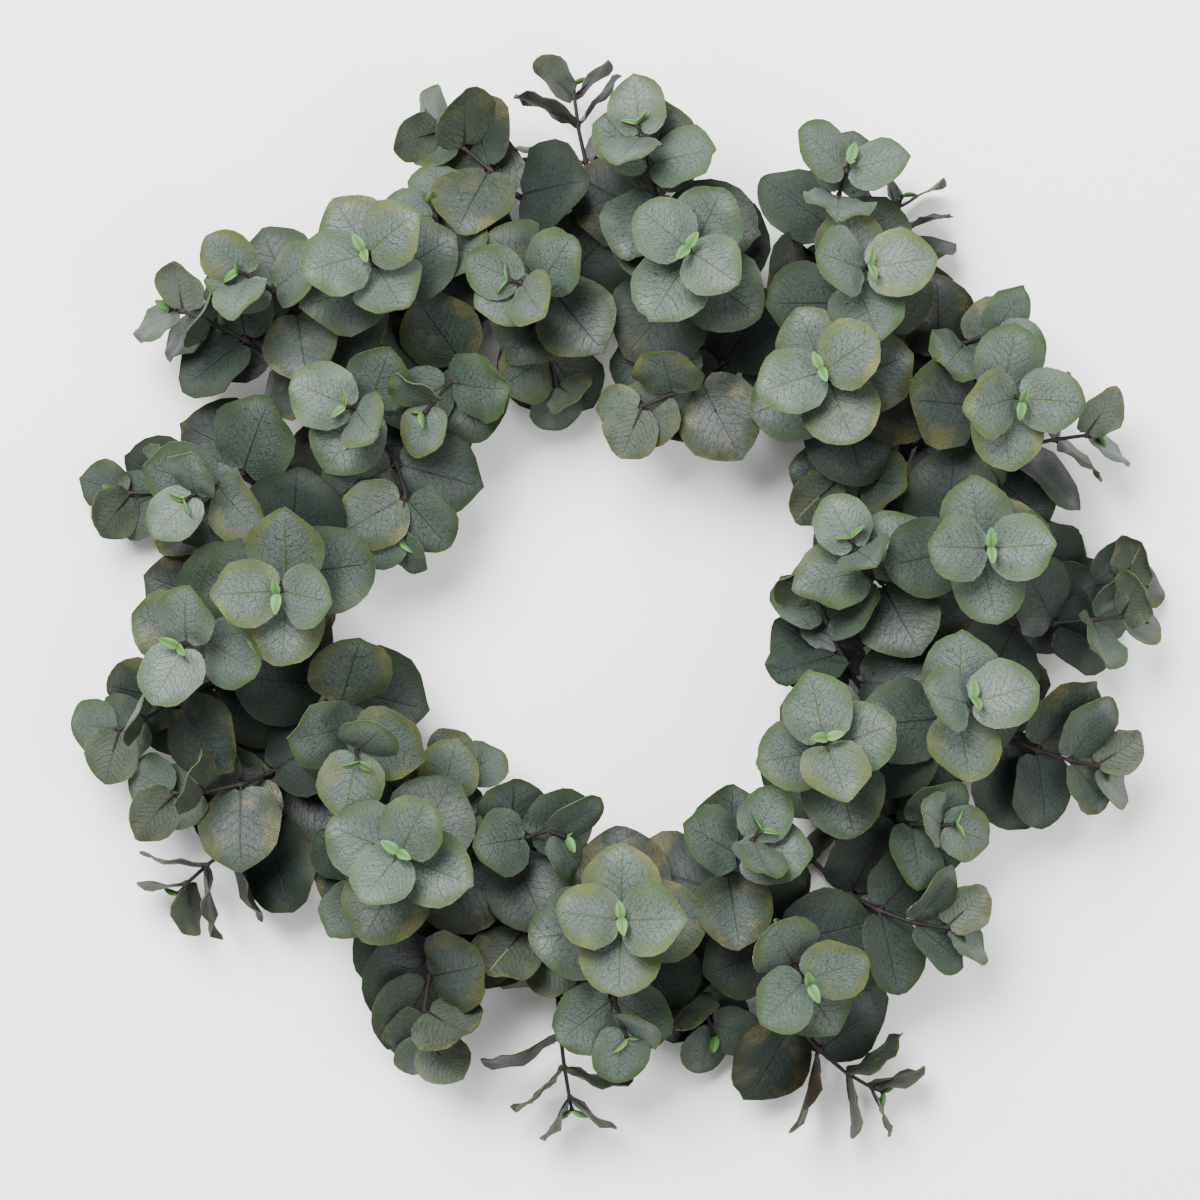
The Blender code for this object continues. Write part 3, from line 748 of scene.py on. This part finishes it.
def upper_face(look):
    """Printed cloth with a silvery bloom in the middle, a green margin and dark veins, darkened
    with age and with painted shade on the lower pairs and on leaves that lie low.
    """
    finish = Finish("leaf_upper_face")
    d = leaf_drawing(finish)
    age_and_low_shade = finish.attribute("age_and_low_shade")
    cloud = finish.noise(d["own"], 3.0, 3.0, space="2D")
    dots = finish.cells(d["own"], 60.0)
    reach = (d["along"] * 1.25 + 0.10 + (d["tint"] - 0.5) * 0.5).clamp()
    margin = (d["rim"] + (cloud - 0.5) * 0.50).above(0.12, 0.80) * reach
    bloom = finish.mix(cloud.above(0.35, 0.68), look.bloom, shaded(look.bloom, 0.84))
    bloom = finish.mix(d["cell"].above(0.15, 0.45) * 0.35, bloom, shaded(look.bloom, 1.22))
    red, leaf_green, blue = look.green
    yellower = (red * 1.65, leaf_green * 1.15, blue)
    green = finish.mix(d["tint"].above(0.45, 0.95), look.green, yellower)
    colour = finish.mix(margin * 0.95, bloom, green)
    drawn = (d["lateral"] * 0.80 + d["net"] * 0.62 + d["mesh"] * 0.36).clamp()
    colour = finish.mix(drawn * (0.90 - margin * 0.45), colour, look.vein)
    rib_colour = finish.mix(age_and_low_shade.above(0.25, 0.85), look.rib, look.vein)
    colour = finish.mix(d["rib"] * 0.9, colour, rib_colour)
    colour = finish.mix(dots.above(0.14, 0.09) * 0.5, colour, look.vein)
    # Darkening toward slate: partly real ageing, and painted shade on the lower pairs and on
    # leaves that lie low
    aged_and_shaded = finish.mix(1.0, colour, (0.165, 0.195, 0.190), "MULTIPLY")
    colour = finish.mix(age_and_low_shade, colour, aged_and_shaded)
    flecks = finish.cells(d["own"], 135.0)
    gilt = flecks.above(0.17, 0.10) * (cloud + d["rim"] * 0.15).above(0.60, 0.75)
    gilt = gilt * d["tint"].above(0.5, 0.7)
    colour = finish.mix(gilt * 0.7, colour, look.gold)
    emboss = d["cell"] * 0.4 - d["rib"] * 0.7 - d["lateral"] * 0.2
    finish.set(
        Base_Color=colour,
        Metallic=gilt * 0.6,
        Roughness=0.46 + margin * 0.12 + drawn * 0.14,
        Specular_IOR_Level=0.28,
        Normal=finish.bump(emboss, 0.0005, 0.45),
    )
    return finish.material


def under_face(look):
    """Grey-green back, olive at its margin and tan on the oldest leaves, with flecks of gold
    glitter, darkened with age and with painted shade on leaves that lie low.
    """
    finish = Finish("leaf_under_face")
    d = leaf_drawing(finish)
    age_and_low_shade = finish.attribute("age_and_low_shade")
    cloud = finish.noise(d["own"], 3.6, 2.0, space="2D")
    flecks = finish.cells(d["own"], 120.0)
    margin = (d["rim"] + (cloud - 0.5) * 0.6).above(0.15, 0.90) * (d["along"] * 1.2 + 0.15).clamp()
    patch = (cloud + d["rim"] * 0.20 + d["along"] * 0.12 - 0.16).above(0.50, 0.84)
    fleck = flecks.above(0.21, 0.13) * patch
    ground = finish.mix(margin * 0.65, look.back, look.edge)
    drawn = (d["lateral"] * 0.8 + d["net"] * 0.55 + d["mesh"] * 0.3).clamp()
    ground = finish.mix(drawn * 0.85, ground, look.vein)
    ground = finish.mix(d["rib"] * 0.8, ground, look.rib)
    ground = finish.mix(age_and_low_shade.above(0.70, 1.0), ground, look.tan)
    # Darkening of the back: partly real ageing, and painted shade on the lower pairs and on leaves
    # that lie low
    aged_and_shaded = finish.mix(1.0, ground, (0.30, 0.31, 0.28), "MULTIPLY")
    ground = finish.mix(age_and_low_shade, ground, aged_and_shaded)
    gilt = (fleck * 0.8 + d["rib"] * (d["tint"].above(0.80, 0.86) * 0.3)).clamp()
    colour = finish.mix(gilt, ground, look.gold)
    emboss = d["rib"] * 0.9 + d["lateral"] * 0.6 + fleck * 0.35
    finish.set(
        Base_Color=colour,
        Metallic=gilt * 0.7,
        Roughness=0.60 - gilt * 0.26,
        Specular_IOR_Level=0.25,
        Normal=finish.bump(emboss, 0.0005, 0.7),
    )
    return finish.material


def bark(look):
    """Moulded brown stem with dull streaks, redder at the knots."""
    finish = Finish("stem_bark")
    here = finish.here()
    knot = finish.attribute("knot")
    streak = finish.noise(here, 420.0, 3.0)
    patch = finish.noise(here, 60.0)
    colour = finish.mix(streak.above(0.35, 0.70), look.bark, shaded(look.bark, 1.7))
    colour = finish.mix(patch.above(0.45, 0.65) * 0.5, colour, (0.014, 0.012, 0.009))
    colour = finish.mix(knot * 0.7, colour, (0.024, 0.010, 0.010))
    finish.set(
        Base_Color=colour,
        Roughness=0.55 + streak * 0.25,
        Specular_IOR_Level=0.25,
        Normal=finish.bump(streak + patch, 0.0004),
    )
    return finish.material


def bud_skin(look):
    """Fresh green bud with painted shade in the crease along its middle and a paler margin."""
    finish = Finish("bud_skin")
    heart = finish.attribute("heart")
    grain = finish.noise(finish.here(), 900.0)
    colour = finish.mix(heart.above(0.1, 0.75), shaded(look.bud, 1.30), look.bud)
    # Painted shade: the crease along the bud's middle is darkened
    colour = finish.mix(heart.above(0.80, 0.97) * 0.7, colour, shaded(look.bud, 0.45))
    colour = finish.mix(grain.above(0.45, 0.75) * 0.35, colour, (0.045, 0.085, 0.028))
    finish.set(
        Base_Color=colour,
        Roughness=0.45 + grain * 0.2,
        Specular_IOR_Level=0.3,
        Normal=finish.bump(grain, 0.0002),
    )
    return finish.material


def tape_cloth(look):
    """Crinkled paper tape, with painted shade in the laps between its turns."""
    finish = Finish("ring_tape")
    here = finish.here()
    lap = finish.attribute("lap")
    crinkle = finish.noise(here, 500.0, 4.0, 0.7)
    patch = finish.noise(here, 40.0)
    colour = finish.mix(crinkle.above(0.3, 0.7), shaded(look.tape, 0.7), shaded(look.tape, 1.5))
    colour = finish.mix(patch.above(0.4, 0.7) * 0.4, colour, (0.045, 0.055, 0.030))
    # Painted shade: the lowest part of each turn, beside the raised edge where the tape laps over,
    # is darkened
    colour = finish.mix(lap.above(0.25, 0.0) * 0.7, colour, (0.012, 0.010, 0.008))
    finish.set(
        Base_Color=colour,
        Roughness=0.72 + crinkle * 0.2,
        Specular_IOR_Level=0.3,
        Normal=finish.bump(crinkle, 0.0006),
    )
    return finish.material


MADE = {}


def arranged():
    """The stems and leaves, laid out once for all the operators."""
    if "layout" not in MADE:
        MADE["layout"] = lay_out()
    return MADE["layout"]


def piece_of(name, bm, materials, slot, *nodes):
    """Turns a bmesh into a piece that rides on the wreath and stands for the CAD nodes named."""
    mesh = bpy.data.meshes.new(name)
    bm.to_mesh(mesh)
    bm.free()
    for material in materials:
        mesh.materials.append(material)
    piece = bpy.data.objects.new(name, mesh)
    bpy.context.scene.collection.objects.link(piece)
    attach(piece, "root")
    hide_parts(*nodes)


def tube(bm, line, radii, sides, shade, marks):
    """A closed tube through a line of points, swept by extruding its end ring step by step."""
    start = bmesh.ops.create_circle(bm, cap_ends=True, segments=sides, radius=1.0)["verts"]
    flat = [v.co.copy() for v in start]
    ahead = (line[1] - line[0]).normalized()
    side = ahead.orthogonal().normalized()
    edges = list({e for v in start for e in v.link_edges})
    ring = list(start)
    for i, here in enumerate(line):
        ahead = (line[min(i + 1, len(line) - 1)] - line[max(i - 1, 0)]).normalized()
        side = (side - ahead * side.dot(ahead)).normalized()
        other = ahead.cross(side)
        if i:
            grown = bmesh.ops.extrude_edge_only(bm, edges=edges)["geom"]
            ends = {g for g in grown if isinstance(g, bmesh.types.BMVert)}
            edges = [g for g in grown if isinstance(g, bmesh.types.BMEdge)]
            edges = [e for e in edges if e.verts[0] in ends and e.verts[1] in ends]
            ordered = []
            for v in ring:
                ordered += [e.other_vert(v) for e in v.link_edges if e.other_vert(v) in ends]
            ring = ordered
        for v, p in zip(ring, flat):
            v.co = here + side * (p.x * radii[i]) + other * (p.y * radii[i])
            v[shade] = marks[i]
    bmesh.ops.contextual_create(bm, geom=edges)


def fine_edge(share, bends, pointed):
    """Half outline of a fine leaf from its notch, at 0, round a lobe to its tip, at 1."""
    last = len(LEAF_EDGE) - 1
    k = min(last - 1, int(share * last))
    t = share * last - k
    knots = []
    for i in (k - 1, k, k + 1, k + 2):
        n = min(last, max(0, i))
        u, v = LEAF_EDGE[n]
        if n > last - len(TIP_EDGE):
            sharp = TIP_EDGE[n - last - 1]
            u, v = u + (sharp[0] - u) * pointed, v + (sharp[1] - v) * pointed
        out = 0.0 if n in (0, last) else bends[n]
        knots.append((u + (u - BLADE_MIDDLE) * out, v * (1 + out)))
    if k == 0:
        knots[0] = (knots[2][0], -knots[2][1])
    if k == last - 1 and pointed < 0.5:
        knots[3] = (knots[1][0], -knots[1][1])
    values = []
    for a, b, c, d in zip(*knots):
        values.append(0.5 * (2 * b + (c - a) * t + (2 * a - 5 * b + 4 * c - d) * t * t
                             + (3 * b - a - 3 * c + d) * t ** 3))
    return values


def fine_leaf(bm, layers, leaf, look):
    """One cloth leaf: a grid drawn to the outline, cupped, twisted and rolled at its margin."""
    draw = random.Random(leaf["seed"] + 7)
    point, rib, across, face = blade_frame(leaf, leaf["change"])
    size = leaf["size"] * leaf["change"][3]
    form = leaf["form"]
    tint = draw.random()
    # Painted shade: the lower a leaf lies, the more is added to its age, which darkens its colour
    low = min(1.0, max(0.0, (PAINTED_SHADE_FROM_HEIGHT - point.z - rib.z * size * 0.5) / PAINTED_SHADE_HEIGHT_RANGE))
    age_and_low_shade = AGE_AND_SHADE_BY_PAIR[leaf["pair"] - 1] + LOW_PAINTED_SHADE * low + draw.uniform(-0.06, 0.16)
    age_and_low_shade = min(1.0, max(0.0, age_and_low_shade))
    pointed = draw.choice((0.0, 0.25, 0.5, 0.9))
    aside = 1.0 - abs(face.z)
    roll = look.roll * draw.uniform(0.2, 1.4)
    ripple = look.ripple * (draw.uniform(0.3, 1.1) + aside * 0.9)
    waves, phase = draw.choice((4, 5, 6)), draw.uniform(0, 6.28)
    fold = look.fold * draw.uniform(0.0, 1.8) * (1 + 2 * aside)
    twist = look.twist * draw.uniform(-1, 1)
    bends = [[draw.uniform(-0.042, 0.034) for _ in LEAF_EDGE] for _ in range(2)]
    verts = bmesh.ops.create_grid(
        bm, x_segments=CELLS_ALONG, y_segments=CELLS_ACROSS, size=1.0)["verts"]
    foot = LEAF_EDGE[0][0]
    tip = fine_edge(1.0, bends[0], pointed)[0]
    for vert in verts:
        s = (vert.co.x + 1) / 2
        t = math.sin(vert.co.y * math.pi / 2)
        edge_u, edge_v = fine_edge(s, bends[t > 0], pointed)
        middle = foot + (tip - foot) * s
        u = middle + (edge_u - middle) * t * t
        v = edge_v * t
        rim = 1 - (1 - t * t) * math.sqrt(max(0.0, 1 - (2 * s - 1) ** 4))
        far = min(1.0, math.hypot(u - BLADE_MIDDLE, v) / BLADE_RADIUS)
        turn = math.atan2(v, u - BLADE_MIDDLE)
        rise = blade_rise(u, v, form) + fold * (math.sqrt(v * v + 0.0009) - 0.03) * 0.35
        rise -= roll * max(0.0, (far - ROLL_FROM) / (1 - ROLL_FROM)) ** 2
        rise += ripple * math.sin(waves * turn + phase) * far ** 3
        rise += twist * v * max(0.0, u - 0.15)
        rise *= min(1.0, max(0.0, (u - foot) * 12 + abs(v) * 6))
        vert.co = point + rib * (u * size) + across * (v * size)
        vert.co += face * (rise * size + look.cloth / 2)
        vert[layers["blade"]] = (u, v, rim)
        vert[layers["tint"]] = tint
        vert[layers["age_and_low_shade"]] = age_and_low_shade
    bmesh.ops.remove_doubles(bm, verts=verts, dist=1e-6)
    faces = list({f: None for v in verts if v.is_valid for f in v.link_faces})
    if sum(f.normal.dot(face) for f in faces) < 0:
        bmesh.ops.reverse_faces(bm, faces=faces)
    return faces


class WREATH_OT_ring(bpy.types.Operator):
    """Wind tape round the ring"""

    bl_idname = "wreath.ring"
    bl_label = "Ring"

    def execute(self, context):
        look = context.scene.wreath_ring
        bm = bmesh.new()
        lap = bm.verts.layers.float.new("lap")
        flat = HOOP_WIRE * math.cos(math.pi / HOOP_SIDES)
        middle = at(HOOP_CENTRE[0], HOOP_CENTRE[1], 0.0) + Vector((0, 0, flat))
        start = bmesh.ops.create_circle(bm, segments=WRAP_SIDES, radius=flat)["verts"]
        turn = Matrix.Rotation(math.pi / 2, 4, "X")
        move = Matrix.Translation(middle + Vector((HOOP_RADIUS, 0, 0)))
        bmesh.ops.transform(bm, matrix=move @ turn, verts=start)
        edges = list({e for v in start for e in v.link_edges})
        bmesh.ops.spin(
            bm, geom=start + edges, cent=middle, axis=(0, 0, 1), dvec=(0, 0, 0),
            angle=2 * math.pi, steps=look.turns * WRAP_STEPS, use_merge=True, use_duplicate=False)
        half = math.pi / HOOP_STEPS
        for vert in bm.verts:
            away = vert.co - middle
            round_ring = math.atan2(away.y, away.x) % (2 * math.pi)
            flat_off = Vector((away.x, away.y, 0)).normalized()
            straight = HOOP_RADIUS * math.cos(half) / math.cos((round_ring % (2 * half)) - half)
            core = middle + flat_off * straight
            out = away - flat_off * HOOP_RADIUS
            around = math.atan2(out.z, out.dot(flat_off))
            place = (round_ring * look.turns + around) / (2 * math.pi) % 1.0
            vert[lap] = place
            vert.co = core + out.normalized() * (flat + look.ridge * (place - WRAP_LEVEL))
            vert.co.z = max(vert.co.z, 0.0)
        bmesh.ops.recalc_face_normals(bm, faces=bm.faces)
        for f in bm.faces:
            f.smooth = True
        piece_of("ring_wrap", bm, [tape_cloth(look)], "hoop", "base_ring")
        return {"FINISHED"}


class WREATH_OT_stems(bpy.types.Operator):
    """Grow the stems, their leaf stalks and the buds at their tips"""

    bl_idname = "wreath.stems"
    bl_label = "Stems and buds"

    def execute(self, context):
        look = context.scene.wreath_stem
        skins = [bark(look), bud_skin(look)]
        bones, leaves = arranged()
        for index, (centres, _, places) in enumerate(bones):
            bm = bmesh.new()
            knot = bm.verts.layers.float.new("knot")
            heart = bm.verts.layers.float.new("heart")
            line, radii, marks = [], [], []
            total = len(centres) - 1
            for i in range(total):
                a, b = centres[i], centres[i + 1]
                thick = [STEM_TIP + (STEM_ROOT - STEM_TIP) * k / total for k in (i, i + 1)]
                length = (b - a).length
                stops = {0.0: 0.0}
                if i < len(places):
                    seat = (places[i] - a).length / length
                    for shift, swell in SWELLING:
                        stops[min(0.97, max(0.03, seat + shift / length))] = swell
                count = max(2, int(length / STEM_RING_STEP))
                for k in range(1, count):
                    stops.setdefault(k / count, 0.0)
                for share in sorted(stops):
                    line.append(a.lerp(b, share))
                    thin = thick[0] + (thick[1] - thick[0]) * share
                    radii.append(thin * 0.85 + look.knot * stops[share])
                    marks.append(stops[share])
            line.append(centres[-1])
            radii.append(STEM_ROOT)
            marks.append(0.0)
            tube(bm, line, radii, STEM_SHAPE_SIDES, knot, marks)
            for leaf in leaves:
                if leaf["spray"] != index:
                    continue
                if leaf["bud"]:
                    for way in (1, -1):
                        grow_bud(bm, heart, leaf, way)
                    continue
                point, rib, _, face = blade_frame(leaf, leaf["change"])
                size = leaf["size"] * leaf["change"][3]
                spots, drops, widths, reds = zip(*STALK)
                path = [point + rib * (size * u) - face * d for u, d in zip(spots, drops)]
                tube(bm, path, widths, STALK_SIDES, knot, reds)
            bmesh.ops.recalc_face_normals(bm, faces=bm.faces)
            for f in bm.faces:
                f.smooth = True
            name = f"spray_{index + 1:02d}"
            piece_of(name + "_stem", bm, skins, "leaf", name)
        return {"FINISHED"}


def grow_bud(bm, heart, leaf, way):
    """A pointed young leaf, one of the pair that opens end to end at a tip."""
    point, stalk, radial = leaf["seat"][:3]
    draw = random.Random(leaf["seed"] + way)
    sweep = BUD_SWEEP + draw.uniform(-0.15, 0.10)
    rib = (radial * way * math.cos(sweep) + stalk * math.sin(sweep)).normalized()
    face = rib.cross(stalk).cross(rib).normalized()
    across = face.cross(rib)
    length = leaf["size"] * draw.uniform(1.18, 1.42)
    made = bmesh.ops.create_uvsphere(bm, u_segments=12, v_segments=10, radius=0.5)["verts"]
    for vert in made:
        u, v, w = vert.co.z + 0.5, vert.co.x, vert.co.y
        slim = (1 - 0.50 * u * u) * (1.10 - 0.8 * max(0.0, 0.25 - u))
        vert[heart] = max(0.0, 1 - abs(v) * 2.2)
        high = w * 0.13 * slim + 0.20 * abs(v) * slim - 0.10 * u * u + 0.03
        vert.co = point + rib * ((u * 1.04 - 0.04) * length) + across * (v * slim * length * 0.56)
        vert.co += face * (high * length)
    for f in {f for v in made for f in v.link_faces}:
        f.material_index = 1


class WREATH_OT_leaves(bpy.types.Operator):
    """Cut and shape the cloth leaves of every spray"""

    bl_idname = "wreath.leaves"
    bl_label = "Leaves"

    def execute(self, context):
        look = context.scene.wreath_leaf
        skins = [upper_face(look), under_face(look)]
        bones, leaves = arranged()
        for index in range(len(bones)):
            bm = bmesh.new()
            layers = {
                "blade": bm.verts.layers.float_vector.new("blade"),
                "tint": bm.verts.layers.float.new("tint"),
                "age_and_low_shade": bm.verts.layers.float.new("age_and_low_shade"),
            }
            fronts = []
            for leaf in leaves:
                if leaf["spray"] == index and not leaf["bud"]:
                    fronts += fine_leaf(bm, layers, leaf, look)
            bm.normal_update()
            kept = set(fronts)
            bmesh.ops.solidify(bm, geom=fronts, thickness=look.cloth)
            for f in bm.faces:
                f.material_index = int(f not in kept)
                f.smooth = True
            for edge in bm.edges:
                faces = edge.link_faces
                if len(faces) == 2 and faces[0].normal.dot(faces[1].normal) < 0.5:
                    edge.smooth = False
            name = f"spray_{index + 1:02d}"
            piece_of(name + "_leaves", bm, skins, "leaf", name)
        return {"FINISHED"}


class WREATH_OT_stage(bpy.types.Operator):
    """Lay the pale floor and set up the soft lights and the camera"""

    bl_idname = "wreath.stage"
    bl_label = "Stage"

    def execute(self, context):
        look = context.scene.wreath_stage
        scene = context.scene
        bm = bmesh.new()
        bmesh.ops.create_grid(bm, x_segments=1, y_segments=1, size=FLOOR_HALF)
        mesh = bpy.data.meshes.new("floor")
        bm.to_mesh(mesh)
        bm.free()
        mesh.transform(Matrix.Translation((0, 0, -FLOOR_DROP)))
        ground = Finish("floor_paper")
        grain = ground.noise(ground.here(), 3.0)
        ground.set(
            Base_Color=ground.mix(grain, look.floor, shaded(look.floor, 0.985)),
            Roughness=0.9, Specular_IOR_Level=0.0)
        mesh.materials.append(ground.material)
        floor = bpy.data.objects.new("floor", mesh)
        scene.collection.objects.link(floor)
        for name, place, width, share in LIGHTS:
            data = bpy.data.lights.new(name, "AREA")
            data.shape = "SQUARE"
            data.size = width
            data.energy = look.key * share
            lamp = bpy.data.objects.new(name, data)
            lamp.location = place
            lamp.rotation_euler = (-Vector(place)).to_track_quat("-Z", "Y").to_euler()
            lamp.visible_camera = False
            scene.collection.objects.link(lamp)
        world = bpy.data.worlds.new("studio")
        world.use_nodes = True
        sky = world.node_tree.nodes["Background"]
        sky.inputs["Color"].default_value = (1.0, 1.0, 1.0, 1.0)
        sky.inputs["Strength"].default_value = look.fill
        scene.world = world
        data = bpy.data.cameras.new("camera")
        data.sensor_width = CAMERA_SENSOR
        data.lens = CAMERA_SENSOR * VIEW_HEIGHT / FRAME_WIDTH
        data.clip_end = CAMERA_END
        camera = bpy.data.objects.new("camera", data)
        camera.location = at(600.0, 600.0, VIEW_HEIGHT * 1000.0)
        scene.collection.objects.link(camera)
        scene.camera = camera
        return {"FINISHED"}


class WREATH_PT_panel(bpy.types.Panel):
    """Sizes, colours and the steps that dress the wreath"""

    bl_label = "Wreath"
    bl_idname = "WREATH_PT_panel"
    bl_space_type = "VIEW_3D"
    bl_region_type = "UI"
    bl_category = "Wreath"

    def draw(self, context):
        layout = self.layout
        for name, settings in SETTINGS.items():
            box = layout.box()
            held = getattr(context.scene, name)
            for prop in settings.__annotations__:
                box.prop(held, prop)
        for operator in OPERATORS:
            layout.operator(operator.bl_idname)


SETTINGS = {
    "wreath_leaf": LeafSettings,
    "wreath_stem": StemSettings,
    "wreath_ring": RingSettings,
    "wreath_stage": StageSettings,
}
OPERATORS = (WREATH_OT_stage, WREATH_OT_ring, WREATH_OT_stems, WREATH_OT_leaves)


def register():
    for name, settings in SETTINGS.items():
        bpy.utils.register_class(settings)
        setattr(bpy.types.Scene, name, bpy.props.PointerProperty(type=settings))
    for kind in (*OPERATORS, WREATH_PT_panel):
        bpy.utils.register_class(kind)


def unregister():
    for kind in reversed((*OPERATORS, WREATH_PT_panel)):
        bpy.utils.unregister_class(kind)
    for name, settings in SETTINGS.items():
        delattr(bpy.types.Scene, name)
        bpy.utils.unregister_class(settings)


def main():
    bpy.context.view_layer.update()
    register()
    bpy.ops.wreath.stage()
    bpy.ops.wreath.ring()
    bpy.ops.wreath.stems()
    bpy.ops.wreath.leaves()
    bpy.context.view_layer.update()


if __name__ == "__main__":
    main()
